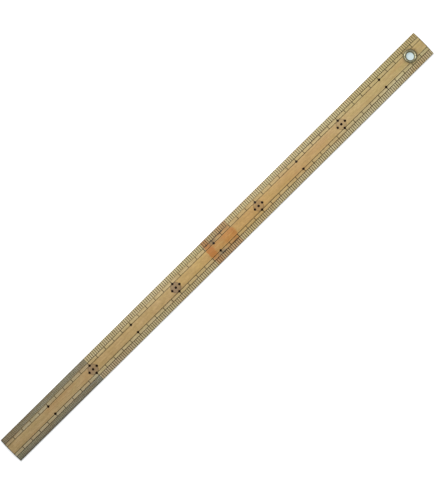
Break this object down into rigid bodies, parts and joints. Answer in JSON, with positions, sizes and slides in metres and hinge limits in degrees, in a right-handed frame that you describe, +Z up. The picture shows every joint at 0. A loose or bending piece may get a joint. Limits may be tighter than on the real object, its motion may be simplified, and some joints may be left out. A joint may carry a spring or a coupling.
{
  "type": "bamboo ruler",
  "caption": "Straight bamboo ruler with a crowned front, lacquer-filled metric scale along both edges, dot stars, and a metal hanging eyelet at one end.",
  "frame": {"origin": "middle of the flat back, halfway between the two ends and the two long edges", "axes": "+X along the scale from the zero end to the eyelet end, +Y across the strip to the upper edge of the scale, +Z up out of the crowned front"},
  "size_m": [0.5, 0.025, 0.0036],
  "materials": {
    "bamboo": "planed and waxed bamboo, honey-coloured, darker at the culm node",
    "line_lacquer": "dull black-brown lacquer rubbed into cut lines",
    "dot_lacquer": "glossy black lacquer in drilled pits",
    "eyelet_metal": "dulled nickel plate with a warm tone"
  },
  "bodies": {
    "root": {"bamboo_blade": "bamboo", "eyelet": "eyelet_metal", "eyelet_washer": "eyelet_metal", "inner_line_upper": "line_lacquer", "inner_line_lower": "line_lacquer", "outer_line_upper": "line_lacquer", "outer_line_lower": "line_lacquer", "centimetre_marks_upper": "line_lacquer", "centimetre_marks_lower": "line_lacquer", "fine_ticks_upper": "line_lacquer", "fine_ticks_lower": "line_lacquer", "coarse_ticks_upper": "line_lacquer", "coarse_ticks_lower": "line_lacquer", "star_10cm": "dot_lacquer", "star_20cm": "dot_lacquer", "star_30cm": "dot_lacquer", "star_40cm": "dot_lacquer", "dot_pair_05cm": "dot_lacquer", "dot_pair_15cm": "dot_lacquer", "dot_pair_25cm": "dot_lacquer", "dot_pair_35cm": "dot_lacquer", "dot_pair_45cm": "dot_lacquer"}
  },
  "joints": []
}
